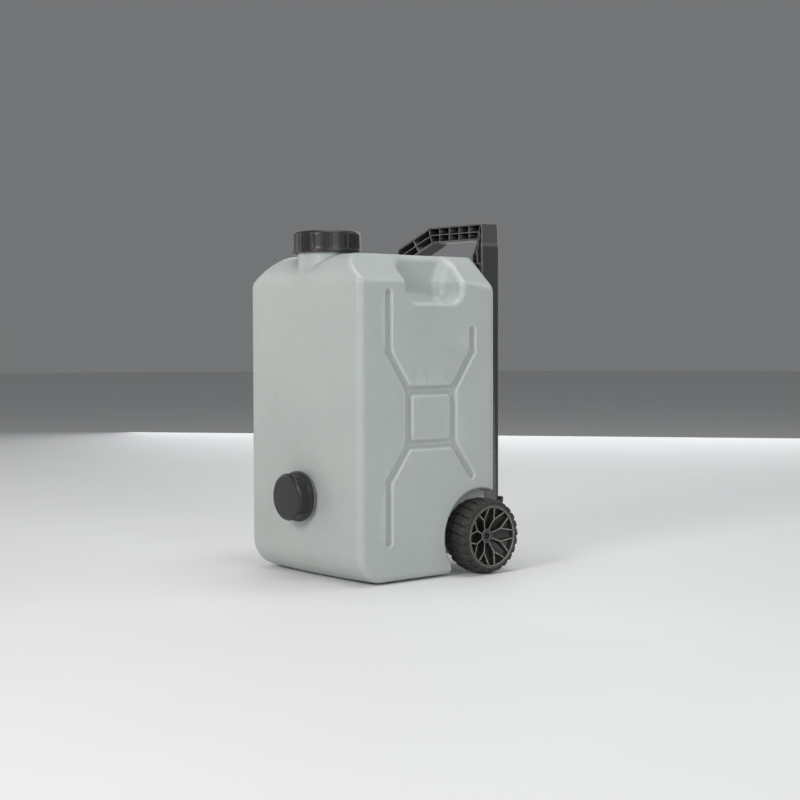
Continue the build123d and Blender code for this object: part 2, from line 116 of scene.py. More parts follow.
def surface_net(f, xs, ys, zs):
    """Quads round the zero level of f, sampled on grid lines xs, ys, zs."""
    F = np.ascontiguousarray(
        np.broadcast_to(
            f(xs[:, None, None], ys[None, :, None], zs[None, None, :]),
            (len(xs), len(ys), len(zs)),
        ),
        dtype=np.float32,
    )
    inside = F < 0
    nx, ny, nz = F.shape
    count = np.zeros((nx - 1, ny - 1, nz - 1), np.uint8)
    for dx in (0, 1):
        for dy in (0, 1):
            for dz in (0, 1):
                count += inside[dx : nx - 1 + dx, dy : ny - 1 + dy, dz : nz - 1 + dz]
    mixed = (count > 0) & (count < 8)
    I, J, K = np.nonzero(mixed)
    ids = np.full(mixed.shape, -1, np.int32)
    ids[I, J, K] = np.arange(len(I))
    pos = np.zeros((len(I), 3))
    hits = np.zeros(len(I))
    lines = (xs, ys, zs)
    corners = [(a, b, c) for a in (0, 1) for b in (0, 1) for c in (0, 1)]
    for c0 in corners:
        for ax in range(3):
            if c0[ax]:
                continue
            c1 = list(c0)
            c1[ax] = 1
            v0 = F[I + c0[0], J + c0[1], K + c0[2]]
            v1 = F[I + c1[0], J + c1[1], K + c1[2]]
            cross = (v0 < 0) != (v1 < 0)
            t = np.where(cross, v0 / np.where(cross, v0 - v1, 1), 0)
            idx = (I, J, K)
            for a in range(3):
                lo = lines[a][idx[a] + c0[a]]
                hi = lines[a][idx[a] + c1[a]]
                pos[:, a] += np.where(cross, lo + (hi - lo) * t, 0)
            hits += cross
    pos /= hits[:, None]
    quads = []
    for ax in range(3):
        sl0, sl1 = [slice(None)] * 3, [slice(None)] * 3
        sl0[ax], sl1[ax] = slice(0, -1), slice(1, None)
        a, b = inside[tuple(sl0)], inside[tuple(sl1)]
        P = np.nonzero(a != b)
        o1, o2 = (ax + 1) % 3, (ax + 2) % 3
        keep = (
            (P[o1] > 0) & (P[o2] > 0) & (P[o1] < F.shape[o1] - 1) & (P[o2] < F.shape[o2] - 1)
        )
        P = [p[keep] for p in P]
        q = []
        for d1, d2 in ((1, 1), (0, 1), (0, 0), (1, 0)):
            c = [p.copy() for p in P]
            c[o1] -= d1
            c[o2] -= d2
            q.append(ids[tuple(c)])
        q = np.stack(q, 1)
        start_in = a[tuple(P)]
        q[~start_in] = q[~start_in][:, ::-1]
        quads.append(q)
    return pos, np.concatenate(quads)


def at(f, p):
    return f(p[:, 0], p[:, 1], p[:, 2])


def gradient(f, p, e):
    g = np.empty_like(p)
    for a in range(3):
        d = np.zeros(3)
        d[a] = e
        g[:, a] = (at(f, p + d) - at(f, p - d)) / (2 * e)
    return g


def settle(f, p, rounds=3, e=0.06, cap=1.2):
    """Moves points onto the zero level of f."""
    for _ in range(rounds):
        g = gradient(f, p, e)
        n2 = np.maximum((g * g).sum(1), 0.05)
        s = np.clip(at(f, p) / n2, -cap, cap)
        p = p - g * s[:, None]
    return p


def new_mesh(name, verts, faces):
    m = bpy.data.meshes.new(name)
    m.from_pydata([tuple(v) for v in verts], [], [tuple(x) for x in faces])
    m.validate()
    m.update()
    return m


def fast_mesh(name, verts, quads):
    m = bpy.data.meshes.new(name)
    m.vertices.add(len(verts))
    m.vertices.foreach_set("co", np.asarray(verts, np.float32).ravel())
    m.loops.add(quads.size)
    m.loops.foreach_set("vertex_index", quads.astype(np.int32).ravel())
    m.polygons.add(len(quads))
    m.polygons.foreach_set("loop_start", np.arange(0, quads.size, quads.shape[1], dtype=np.int32))
    m.update(calc_edges=True)
    m.validate()
    return m


def link(name, mesh):
    o = bpy.data.objects.new(name, mesh)
    bpy.context.scene.collection.objects.link(o)
    return o


def coords(mesh):
    co = np.empty(len(mesh.vertices) * 3, np.float32)
    mesh.vertices.foreach_get("co", co)
    return co.reshape(-1, 3).astype(float)


def decimate(o, ratio):
    m = o.modifiers.new("thin", "DECIMATE")
    m.ratio = ratio
    dg = bpy.context.evaluated_depsgraph_get()
    thin = bpy.data.meshes.new_from_object(o.evaluated_get(dg))
    o.modifiers.remove(m)
    old = o.data
    o.data = thin
    bpy.data.meshes.remove(old)
    return o


def sdf_object(name, f, xs, ys, zs, faces=None, edge=1.2, e=0.06, cap=1.2, normals=0.12):
    """Mesh of the solid f < 0 (millimetres), settled on the surface, with its true normals."""
    p, q = surface_net(f, xs, ys, zs)
    p = settle(f, p, 3, e, cap)
    o = link(name, fast_mesh(name, p, q))
    if faces and 2 * len(q) > faces:
        decimate(o, faces / (2.0 * len(q)))
        p = settle(f, coords(o.data), 2, e, cap * 0.5)
        o.data.vertices.foreach_set("co", p.astype(np.float32).ravel())
    p = coords(o.data)
    n = gradient(f, p, normals)
    n /= np.maximum(np.linalg.norm(n, axis=1), 1e-9)[:, None]
    bend = -6 * at(f, p)
    for a in range(3):
        d = np.zeros(3)
        d[a] = edge
        bend += at(f, p + d) + at(f, p - d)
    bend = bend / edge
    finish_mesh(o, p, n, bend)
    note(f"{name}: {len(o.data.vertices)} vertices, {len(o.data.polygons)} faces")
    return o


def finish_mesh(o, p, n=None, bend=None):
    """Millimetres to metres, smooth shading, normals and the edge attribute."""
    m = o.data
    m.vertices.foreach_set("co", (p * MM).astype(np.float32).ravel())
    m.update()
    m.polygons.foreach_set("use_smooth", np.ones(len(m.polygons), bool))
    a = m.attributes.get("edge") or m.attributes.new("edge", "FLOAT", "POINT")
    v = np.zeros(len(m.vertices)) if bend is None else np.clip(bend, -1, 1)
    a.data.foreach_set("value", v.astype(np.float32))
    if n is not None:
        m.normals_split_custom_set_from_vertices(n.astype(np.float32))
    m.update()
    return o


def mirrored(o, name):
    """Copy of o mirrored in the plane X = 0."""
    m = o.data.copy()
    nrm = np.empty(len(m.loops) * 3, np.float32)
    m.corner_normals.foreach_get("vector", nrm)
    nrm = nrm.reshape(-1, 3)
    li = np.empty(len(m.loops), np.int32)
    m.loops.foreach_get("vertex_index", li)
    vn = np.zeros((len(m.vertices), 3))
    np.add.at(vn, li, nrm)
    vn /= np.maximum(np.linalg.norm(vn, axis=1), 1e-9)[:, None]
    vn[:, 0] *= -1
    co = coords(m)
    co[:, 0] *= -1
    m.vertices.foreach_set("co", co.astype(np.float32).ravel())
    m.flip_normals()
    m.update()
    m.normals_split_custom_set_from_vertices(vn.astype(np.float32))
    m.name = name
    return link(name, m)


# ------------------------------------------------------------------ tank
RELIEF_RUNS = [
    [(-79.5, 421), (-79.5, 336), (-42.5, 282)],
    [(83.5, 368), (83.5, 336), (46, 282)],
    [(-79.5, 60), (-79.5, 147), (-42.5, 198)],
    [(82, 150), (46, 198)],
]


def relief(y, z):
    """Depth of the embossed channel at a point of the side face."""
    d = None
    for run in RELIEF_RUNS:
        for a, b in zip(run, run[1:]):
            s = seg2(y, z, a, b) - 7.7
            d = s if d is None else smin(d, s, 3.0)
    ring = box2(y, z, -49.5, 52.5, 191, 288, 10)
    pad = box2(y, z, -33.5, 36.5, 209, 270, 4)
    d = smin(d, ring, 5.0)
    d = np.maximum(d, -pad)
    return 4.7 * step(-d / 5.6)


def tank_sdf(x, y, z):
    ax = np.abs(x)
    # side, and the sloping shoulder above it, a little steeper towards the back
    k = step((y - 60) / 74.0)
    nx, nz = 40.0 + 7.0 * k, 56.5 - 6.5 * k
    ln = np.hypot(nx, nz)
    nx, nz = nx / ln, nz / ln
    shoulder = nx * (ax - 136) + nz * (z - 440 + 7.0 * k)
    side = ax - 136 + relief(y, z)
    rs = 13 + 9 * k
    a = rmaxc(side, shoulder, rs, nx)
    az_ = rise(side, shoulder, rs, nx, 0.0, nz)
    # front, top and bottom with their large quarter rounds
    b = rmaxc(-y - 134, z - 480, 45, 0.0)
    bz_ = rise(-y - 134, z - 480, 45, 0.0, 0.0, 1.0)
    b = rmax(b, -z + 2.4 * (ax / 125.0) ** 2, 45)
    c = np.where(z > 300, np.clip(az_ * bz_, 0, 0.9), 0.0)
    f = rmaxc(a, b, 11, c)
    f = rmax(f, y - 134, 16)
    # lifting scoops
    back = 63.5 + 0.42 * np.maximum(z - 440, 0) - 1.0
    plan = rmax(rmax(82 - ax, -44 - y, 46), y - back, 22)
    scoop = rmax(plan, 409 - z, 19)
    f = rmax(f, -scoop, 8)
    # wheel arch
    arch = np.hypot(y - 100, z - 57) - 70.6
    arch = np.minimum(arch, box2(y, z, 100, 300, -200, 57))
    arch = smin(arch, box2(y, z, 43.0, 300, -200, 24), 4)
    f = rmax(f, -arch, 4.5)
    # flange round the wheel well
    rw = np.hypot(y - 100, z - 57)
    cheek = np.maximum(np.abs(ax - 107.2) - 1.8, np.maximum(48.0 - rw, rw - 72.5))
    cheek = np.maximum(cheek, np.maximum(y - 133, np.where(z < 57, np.maximum(y - 80, 30 - z), -50.0)))
    f = rmin(f, cheek, 1.5)
    # necks
    rn = np.hypot(x, y + 86.7)
    neck = np.maximum(rmax(rn - 44.6, z - 509.5, 1.2), 440 - z)
    f = rmin(f, neck, 2.5)
    rd = np.hypot(x, z - 122)
    drain = np.maximum(rmax(rd - 29, -160.0 - y, 1.2), y + 120)
    f = rmin(f, drain, 3.0)
    # thread ridges on the necks
    for r, h, pitch, lo, hi, rad in (
        (rn, z, 6.0, 486.0, 507.5, 44.6), (rd, -y, 5.0, 143.0, 158.5, 29.0),
    ):
        ang = np.arctan2(y + 86.7, x) if pitch == 6.0 else np.arctan2(z - 122, x)
        w = (h - ang * pitch / (2 * math.pi)) / pitch
        w = np.abs(w - np.round(w)) * pitch
        ridge = rmax(r - rad - 1.7, w - 0.55, 0.5)
        ridge = np.maximum(ridge, np.maximum(lo - h, h - hi))
        ridge = np.maximum(ridge, rad - 1.5 - r)
        f = rmin(f, ridge, 0.8)
    f = rmax(f, -np.maximum(rn - 39, 470 - z), 1.2)
    f = rmax(f, -np.maximum(rd - 24, y + 128), 1.2)
    return f


H = 1.9
tank = sdf_object(
    "tank_body_shell",
    tank_sdf,
    axis(-139, H, 139),
    axis(-164, H, 137),
    axis(-3, H, 513),
    faces=190_000,
    edge=2.5,
)
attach(tank, "tank_body")
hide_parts("tank_shell")


# ------------------------------------------------------------------ pull handle
def band(ax, z, grow=0.0):
    """Front outline of the handle: outer border rounded, hole bordered inside."""
    ln = math.hypot(36, 39)
    slope = (36 * (ax - 102) + 39 * (z - 500)) / ln
    out = np.where(
        z < 518, rmaxc(ax - 102, slope, 14, 36 / ln), rmaxc(slope, z - 536, 10, 39 / ln)
    )
    ln = math.hypot(28.5, 24)
    slope = (28.5 * (ax - 78) + 24 * (z - 481)) / ln
    hole = np.where(
        z < 495, rmaxc(ax - 78, slope, 12, 28.5 / ln), rmaxc(slope, z - 509.5, 9, 24 / ln)
    )
    return out, -hole


def along(ax, z):
    """0 on the legs, 1 on the grip bar, rising along the shoulder between the mitres."""
    bx, bz = 102 - 78, 500 - 481.0
    ex, ez = 63 - 54, 536 - 509.5
    db = ((z - 481) * bx - (ax - 78) * bz) / math.hypot(bx, bz)
    de = ((ax - 54) * ez - (z - 509.5) * ex) / math.hypot(ex, ez)
    t = db / np.maximum(db + de, 1e-3)
    t = np.where(db <= 0, 0.0, np.where(de <= 0, 1.0, t))
    return np.where(z < 470, 0.0, np.clip(t, 0, 1))


def ease(t):
    """Softened ramp, so that the bends are rounded."""
    k = 0.07
    lo = np.where(t < k, t * t / (2 * k), t - k / 2)
    hi = 1 - k
    return np.where(t > hi, (1 - k / 2) - (1 - t) ** 2 / (2 * k) - k / 2, lo) / (1 - k)


def handle_sdf(x, y, z):
    ax = np.abs(x)
    t = along(ax, z)
    yy = y - 33.4 * ease(t)
    out, hole = band(ax, z)
    side = rmax(out, hole, 1.0)
    f = rmax(side, -(yy - 134.6), 0.9)
    f = rmax(f, yy - 170.0, 2.6)
    # legs: lipped channel for the guide
    c = np.abs(ax - 90)
    slot = np.maximum(c - 9.0, np.maximum(137.6 - y, y - 167.0))
    slot = np.minimum(slot, np.maximum(c - 5.0, y - 139))
    slot = np.maximum(slot, z - 468)
    # shoulders and grip bar: open front with two rows of cells
    inset = np.maximum(out, hole) + 3.0
    cells = rmax(inset, yy - 166.8, 2.0)
    cells = np.maximum(cells, 471.5 - z)
    mid = np.abs(out - hole) * 0.5 - 0.8
    cells = rmax(cells, -mid, 0.8)
    bx, bz = 24.0, 19.0
    ex, ez = 9.0, 26.5
    db = np.abs(((z - 481) * bx - (ax - 78) * bz) / math.hypot(bx, bz)) - 0.8
    de = np.abs(((ax - 54) * ez - (z - 509.5) * ex) / math.hypot(ex, ez)) - 0.8
    dm = np.where(
        (t > 0.2) & (t < 0.8), np.abs(t - 0.5) * 55.0 - 0.8, 10.0
    )
    cells = rmax(cells, -de, 0.8)
    cells = rmax(cells, -dm, 0.8)
    for xr in (11.7, 35.1):
        bar = np.where(z > 500, np.abs(ax - xr) - 0.8, 10.0)
        cells = rmax(cells, -bar, 0.8)
    f = rmax(f, -np.minimum(slot, cells), 0.5)
    return np.maximum(f, 46 - z)


G = 0.8
handle = sdf_object(
    "pull_handle_moulding",
    handle_sdf,
    axis(-103, G, -76, G, 76, G, 103),
    axis(133, G, 205),
    axis(44, 1.0, 48, 5.0, 460, 1.0, 468, G, 538),
    faces=190_000,
    edge=1.0,
    cap=0.6,
    e=0.04,
    normals=0.08,
)
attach(handle, "handle")
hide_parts("pull_handle")


# ------------------------------------------------------------------ wheels
WY, WZ = 100.0, 57.0


def rim_sdf(x, y, z):
    dy, dz = y - WY, z - WZ
    r = np.hypot(dy, dz)
    th = np.arctan2(dy, dz)
    barrel = rmax(np.abs(r - 45.3) - 1.9, np.abs(x - 138) - 24, 0.9)
    lip = np.hypot(np.maximum(np.abs(r - 45.2) - 0.9, 0), x - 160.9) - 1.05
    web = np.abs(x - (130.0 + (r - 6) * 0.53)) / 1.13 - 1.6
    web = np.maximum(web, r - 45)
    hub = rmax(r - np.where(x < 128, 9.6, 10.4), np.maximum(106.6 - x, x - 150), 0.8)
    # one eighth of the pattern: rib towards the fork, then two branches to the rim
    s = np.abs((th + math.pi / 8) % (math.pi / 4) - math.pi / 8)   # 0 on a petal axis
    s = math.pi / 8 - s                                            # 0 on a rib
    u, v = r * np.cos(s), r * np.sin(s)
    stem = seg2(u, v, (6.0, 0.0), (26.0, 0.0))
    k = math.radians(15.3)
    branch = seg2(u, v, (26.0, 0.0), (45.0 * math.cos(k), 45.0 * math.sin(k)))
    d = smin(stem, branch, 1.5) - 0.95
    top = 148.8 + (r - 8.3) * 0.335
    spoke = rmax(d, np.maximum(x - top, 128 - x), 0.6)
    spoke = np.maximum(spoke, r - 45)
    f = rmin(barrel, web, 1.2)
    f = rmin(f, spoke, 0.8)
    f = rmin(f, hub, 1.5)
    f = np.minimum(f, lip)
    bore = np.minimum(r - 4.1, np.maximum(r - 5.9, np.abs(x - 143.2) - 1.2))
    bore = np.minimum(bore, np.maximum(r - 5.4, 144.9 - x))
    f = rmax(f, -bore, 0.4)
    return f


W = 0.75
rim = sdf_object(
    "wheel_rim_right",
    rim_sdf,
    axis(105.5, 1.2, 126, W, 163),
    axis(52, W, 148),
    axis(9, W, 105),
    faces=150_000,
    edge=1.0,
    cap=0.5,
    e=0.04,
    normals=0.08,
)
rim_l = mirrored(rim, "wheel_rim_left")


def lathe_mesh(name, place, radii, thetas, closed):
    """Quads from a table of points: radii[i][j] = (axial, radius) of ring i at angle j."""
    n, m = radii.shape[0], len(thetas)
    ax = radii[:, :, 0]
    rr = radii[:, :, 1]
    pts = place(ax, rr * np.cos(thetas)[None, :], rr * np.sin(thetas)[None, :])
    pts = np.stack(pts, -1).reshape(-1, 3)
    i = np.arange(n if closed else n - 1)
    j = np.arange(m)
    I, J = np.meshgrid(i, j, indexing="ij")
    I2, J2 = (I + 1) % n, (J + 1) % m
    q = np.stack([I * m + J, I * m + J2, I2 * m + J2, I2 * m + J], -1).reshape(-1, 4)
    return pts, q


def rounded_path(points, radii, seg=5):
    out = []
    n = len(points)
    for i in range(n):
        p = np.array(points[i], float)
        r = radii[i]
        if r <= 0 or i in (0, n - 1):
            out.append(p)
            continue
        a = np.array(points[i - 1], float) - p
        b = np.array(points[(i + 1) % n], float) - p
        la, lb = np.linalg.norm(a), np.linalg.norm(b)
        a, b = a / la, b / lb
        half = math.acos(max(-1, min(1, float(a @ b)))) / 2
        d = min(r / math.tan(half), 0.49 * la, 0.49 * lb)
        r2 = d * math.tan(half)
        c = p + (a + b) / np.linalg.norm(a + b) * (r2 / math.sin(half))
        v0, v1 = p + a * d - c, p + b * d - c
        t0, t1 = math.atan2(v0[1], v0[0]), math.atan2(v1[1], v1[0])
        dt = (t1 - t0 + math.pi) % (2 * math.pi) - math.pi
        for k in range(seg + 1):
            t = t0 + dt * k / seg
            out.append(c + r2 * np.array([math.cos(t), math.sin(t)]))
    return np.array(out)


def refine(path, h):
    out = [path[0]]
    for a, b in zip(path[:-1], path[1:]):
        n = max(1, int(math.ceil(np.linalg.norm(b - a) / h)))
        for k in range(1, n + 1):
            out.append(a + (b - a) * k / n)
    return np.array(out)


def tyre():
    N = 24
    per = 28
    th = np.arange(N * per) / (N * per) * 2 * math.pi
    outer = rounded_path(
        [(114.0, 47.25), (114.0, 53.4), (128, 56.75), (148, 56.75), (162.0, 53.4), (162.0, 47.25)],
        [0, 3.0, 26, 26, 3.0, 0],
        7,
    )
    outer = refine(outer, 0.9)
    a, r = outer[:, 0], outer[:, 1]
    w = (a - 138) / 24.0
    # broad transverse grooves that bend across the tread
    zig = 0.20 * np.sin(w * 2.6) + 0.10 * (np.abs((w * 2.0 + 0.5) % 2 - 1) - 0.5)
    ph = (th[None, :] * N / (2 * math.pi) + zig[:, None]) % 1.0
    dist = np.abs(ph - 0.5)
    halfw = 0.20 + 0.03 * step((np.abs(w) - 0.62) / 0.3)
    groove = step((halfw[:, None] - dist) / 0.17)
    crown = step((0.62 - np.abs(w)) / 0.3)[:, None] * 0.55 * ((0.5 - dist) / 0.5) ** 2
    # lugs at both shoulders, twice as many and zigzagged
    zig2 = 0.5 * (np.abs((w * 9.0 + 0.5) % 2 - 1) - 0.5) * step((np.abs(w) - 0.55) / 0.1)
    ph2 = (th[None, :] * 2 * N / (2 * math.pi) + 2 * zig[:, None] + zig2[:, None]) % 1.0
    d2 = np.abs(ph2 - 0.5)
    lug = step((0.22 - d2) / 0.14) * step((np.abs(w)[:, None] - 0.60) / 0.14)
    sipe = step((0.055 - np.abs(ph - 0.02)) / 0.05) * step((0.62 - np.abs(w)[:, None]) / 0.1)
    reach = step((r - 49.6) / 2.6)[:, None]
    cut = np.maximum(2.6 * groove, np.maximum(1.9 * lug, 0.7 * sipe) + crown) * reach
    rr = r[:, None] - cut
    aa = np.repeat(a[:, None], len(th), 1)
    # the side wall steps in between the lugs
    sidew = step((r - 48.9) / 2.0) * step((np.abs(w) - 0.93) / 0.07)
    aa = aa - np.sign(w)[:, None] * (sidew[:, None] * step((0.24 - d2) / 0.14) * 1.0)
    # Tyre edge values: tread tops slightly lightened as rubbed wear and painted highlight, grooves darkened as
    # painted shade.
    tread_rub_and_groove_shade = (0.35 - np.clip(cut / 2.0, 0, 1)) * reach * 0.8
    table = np.stack([aa, rr], -1)
    pts, q = lathe_mesh("tyre", lambda a_, c, s: (a_, WY + s, WZ + c), table, th, True)
    return pts, q, tread_rub_and_groove_shade.ravel()


tp, tq, te = tyre()


def simple_object(name, pts, quads, edge_attr=None, auto=None):
    o = link(name, fast_mesh(name, pts * MM, quads))
    m = o.data
    m.polygons.foreach_set("use_smooth", np.ones(len(m.polygons), bool))
    a = m.attributes.new("edge", "FLOAT", "POINT")
    v = np.zeros(len(m.vertices)) if edge_attr is None else edge_attr
    if len(v) == len(m.vertices):
        a.data.foreach_set("value", v.astype(np.float32))
    m.update()
    return o


def outward(o, middle):
    """Flips the mesh if its signed volume is negative."""
    m = o.data
    m.calc_loop_triangles()
    tri = np.empty(len(m.loop_triangles) * 3, np.int32)
    m.loop_triangles.foreach_get("vertices", tri)
    co = coords(m)[tri.reshape(-1, 3)]
    vol = np.einsum("ij,ij->i", co[:, 0], np.cross(co[:, 1], co[:, 2])).sum()
    if vol < 0:
        m.flip_normals()
        m.update()
    return o


tyre_r = outward(simple_object("wheel_tyre_right", tp, tq, te), None)
tl = tp.copy()
tl[:, 0] *= -1
tyre_l = outward(simple_object("wheel_tyre_left", tl, tq, te), None)
for o, body, node, slot in (
    (rim, "right_wheel", "wheel_right", "wheel"),
    (rim_l, "left_wheel", "wheel_left", "wheel"),
    (tyre_r, "right_wheel", "tyre_right", "tyre"),
    (tyre_l, "left_wheel", "tyre_left", "tyre"),
):
    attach(o, body)
    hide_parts(node)
note("wheels done")


# ------------------------------------------------------------------ screw caps
def cap_points(H_, R, ring_r, ring_h, bore, top, flats, groove_w, groove_d, edge_r):
    """Table of a screw cap standing on 0: outer skin, rim, inner skin."""
    path = rounded_path(
        [(H_, 0.02), (H_, R), (ring_h + 0.8, R), (ring_h, ring_r), (0.0, ring_r), (0.0, bore), (H_ - top, bore), (H_ - top, 0.02)],
        [0, edge_r, 0.6, 0.6, 0.7, 0.5, 1.0, 0],
        6,
    )
    path = refine(path, 1.6)
    a, r = path[:, 0], path[:, 1]
    order = np.arange(len(a))
    last_outer = np.argmax(r >= ring_r - 1e-6)
    sector = 2 * math.pi / flats
    g = groove_w / R / 2
    local = np.unique(
        np.concatenate(
            [
                np.linspace(-sector / 2, sector / 2, 13),
                [-g * 1.7, -g * 1.25, -g, -g * 0.75, -g * 0.35, 0, g * 0.35, g * 0.75, g, g * 1.25, g * 1.7],
            ]
        )
    )
    local = local[local < sector / 2 - 1e-6]
    th = np.concatenate([local + sector * k for k in range(flats)])
    off = (th + sector / 2) % sector - sector / 2
    cut = step((g * 1.35 - np.abs(off)) / (g * 0.7))
    # the panels between are very slightly hollowed
    soft = 0.35 * step((np.abs(off) - g * 1.6) / (sector * 0.12))
    on = (order <= last_outer) & (r > R - 1.9 * edge_r)
    ends = step((a - ring_h - 1.6) / 1.6) * step((H_ - edge_r * 0.35 - a) / (edge_r * 1.1))
    k = np.where(on, ends, 0.0)
    rr = r[:, None] - (groove_d * cut + soft)[None, :] * k[:, None]
    return np.stack([np.repeat(a[:, None], len(th), 1), rr], -1), th


def cap_object(name, table, th, place):
    pts, q = lathe_mesh(name, place, table, th, False)
    m = len(th)
    n = table.shape[0]
    # close the two poles with a point each
    c0 = pts[:m].mean(0)
    c1 = pts[-m:].mean(0)
    base = len(pts)
    pts = np.vstack([pts, c0, c1])
    j = np.arange(m)
    f0 = np.stack([np.full(m, base), (j + 1) % m, j], -1)
    f1 = np.stack([np.full(m, base + 1), (n - 1) * m + j, (n - 1) * m + (j + 1) % m], -1)
    faces = [tuple(x) for x in q] + [tuple(x) for x in f0] + [tuple(x) for x in f1]
    o = link(name, new_mesh(name, pts * MM, faces))
    o.data.polygons.foreach_set("use_smooth", np.ones(len(o.data.polygons), bool))
    o.data.attributes.new("edge", "FLOAT", "POINT")
    return outward(o, None)


table, th = cap_points(32.5, 50.1, 51.0, 4.6, 48.0, 3.0, 12, 4.6, 1.25, 6.2)
fcap = cap_object(
    "filler_screw_cap", table, th + math.radians(-2.2), lambda a, c, s: (c, -86.7 + s, 482.0 + a)
)
table, th = cap_points(24.9, 35.0, 37.5, 5.4, 32.4, 3.0, 12, 3.2, 1.2, 4.8)
dcap = cap_object(
    "drain_screw_cap", table, th + math.radians(-6), lambda a, c, s: (c, -140.5 - a, 122.0 + s)
)
for o, body, node in ((fcap, "filler_closure", "filler_cap"), (dcap, "drain_closure", "drain_cap")):
    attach(o, body)
    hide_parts(node)
note("caps done")


# ------------------------------------------------------------------ materials
def material(name, base, rough, dark=None, metallic=0.0, spec=0.5, grain=None, mottle=None, wear_highlight_and_shade=None, coat=0.0,
             bump=0.2, scratch=0.0, streak=0.0, sss=0.0):
    """Principled material with procedural colour, roughness and bump.
    grain = (scale per metre, height m), mottle = (scale, strength); the edge pair (colour, amount) lightens convex
    edges towards the colour, partly as rubbed wear and partly as painted highlight, and also paints shade into
    concave creases."""
    m = bpy.data.materials.new(name)
    m.use_nodes = True
    nt = m.node_tree
    nt.nodes.clear()
    N, L = nt.nodes.new, nt.links.new
    out = N("ShaderNodeOutputMaterial")
    p = N("ShaderNodeBsdfPrincipled")
    L(p.outputs[0], out.inputs[0])
    p.inputs["Metallic"].default_value = metallic
    p.inputs["Specular IOR Level"].default_value = spec
    p.inputs["Coat Weight"].default_value = coat
    if sss:
        p.inputs["Subsurface Weight"].default_value = sss
        p.inputs["Subsurface Radius"].default_value = (0.006, 0.006, 0.005)
        p.inputs["Subsurface Scale"].default_value = 1.0
    co = N("ShaderNodeTexCoord").outputs["Object"]

    def noise(scale, detail=4.0, rough_=0.55, vec=None):
        n = N("ShaderNodeTexNoise")
        n.inputs["Scale"].default_value = scale
        n.inputs["Detail"].default_value = detail
        n.inputs["Roughness"].default_value = rough_
        L(vec or co, n.inputs["Vector"])
        return n.outputs["Fac"]

    def ramp(fac, lo, hi, a=0.0, b=1.0):
        r = N("ShaderNodeMapRange")
        r.interpolation_type = "SMOOTHSTEP"
        L(fac, r.inputs["Value"])
        r.inputs["From Min"].default_value = lo
        r.inputs["From Max"].default_value = hi
        r.inputs["To Min"].default_value = a
        r.inputs["To Max"].default_value = b
        return r.outputs[0]

    def mix(fac, a, b, kind="MIX"):
        x = N("ShaderNodeMix")
        x.data_type = "RGBA"
        x.blend_type = kind
        if isinstance(fac, float):
            x.inputs["Factor"].default_value = fac
        else:
            L(fac, x.inputs["Factor"])
        for sock, v in ((x.inputs[6], a), (x.inputs[7], b)):
            if isinstance(v, tuple):
                sock.default_value = (*v, 1.0)
            else:
                L(v, sock)
        return x.outputs[2]

    def math_(op, a, b=None):
        x = N("ShaderNodeMath")
        x.operation = op
        for sock, v in zip(x.inputs, (a, b)):
            if v is None:
                continue
            if isinstance(v, (int, float)):
                sock.default_value = v
            else:
                L(v, sock)
        return x.outputs[0]

    dark = dark or tuple(c * 0.86 for c in base)
    ms, mk = mottle or (18.0, 0.5)
    big = ramp(noise(ms, 5.0), 0.35, 0.68)
    col = mix(math_("MULTIPLY", big, mk), base, dark)
    fine = ramp(noise(ms * 11, 3.0), 0.42, 0.6)
    col = mix(math_("MULTIPLY", fine, mk * 0.35), col, tuple(min(1, c * 1.12) for c in base))
    if streak:
        mp = N("ShaderNodeMapping")
        mp.inputs["Scale"].default_value = (1.0, 1.0, 0.06)
        L(co, mp.inputs["Vector"])
        st = ramp(noise(60.0, 4.0, 0.6, mp.outputs[0]), 0.5, 0.72)
        col = mix(math_("MULTIPLY", st, streak), col, dark)
    at_ = N("ShaderNodeAttribute")
    at_.attribute_name = "edge"
    if wear_highlight_and_shade:
        rub_highlight_col, rub_highlight_amount = wear_highlight_and_shade
        # Convex edges lightened towards the edge colour, broken up by noise: partly rubbed wear, partly painted
        # highlight.
        e = ramp(at_.outputs["Fac"], 0.12, 0.75)
        br = ramp(noise(240.0, 5.0, 0.65), 0.3, 0.62)
        e = math_("MULTIPLY", math_("MULTIPLY", e, math_("ADD", math_("MULTIPLY", br, 0.65), 0.35)), rub_highlight_amount)
        col = mix(e, col, rub_highlight_col)
        # Concave creases darkened towards 0.6 of the base colour: painted shade.
        painted_crease_shade = ramp(at_.outputs["Fac"], -0.08, -0.6)
        col = mix(math_("MULTIPLY", painted_crease_shade, 0.28), col, tuple(c * 0.6 for c in base))
    if scratch:
        mp = N("ShaderNodeMapping")
        mp.inputs["Rotation"].default_value = (0.5, 0.9, 0.4)
        mp.inputs["Scale"].default_value = (1.0, 0.04, 1.0)
        L(co, mp.inputs["Vector"])
        sc = ramp(noise(900.0, 2.0, 0.5, mp.outputs[0]), 0.66, 0.74)
        gate = ramp(noise(14.0, 2.0), 0.5, 0.7)
        sc = math_("MULTIPLY", sc, math_("MULTIPLY", gate, scratch))
        col = mix(sc, col, tuple(min(1, c * 1.7 + 0.02) for c in base))
    L(col, p.inputs["Base Color"])
    rr = math_("ADD", math_("MULTIPLY", noise(ms * 5, 5.0), 0.16), rough - 0.08)
    if scratch:
        rr = math_("ADD", rr, math_("MULTIPLY", sc, 0.25))
    L(rr, p.inputs["Roughness"])
    height = None
    for scale, h in grain or ():
        k = math_("MULTIPLY", noise(scale, 2.0, 0.5), h)
        height = k if height is None else math_("ADD", height, k)
    if height is not None:
        b = N("ShaderNodeBump")
        b.inputs["Strength"].default_value = bump
        b.inputs["Distance"].default_value = 1.0
        L(height, b.inputs["Height"])
        L(b.outputs[0], p.inputs["Normal"])
    return m


def srgb(r, g, b):
    return tuple(((c / 255 + 0.055) / 1.055) ** 2.4 if c > 10 else c / 255 / 12.92 for c in (r, g, b))
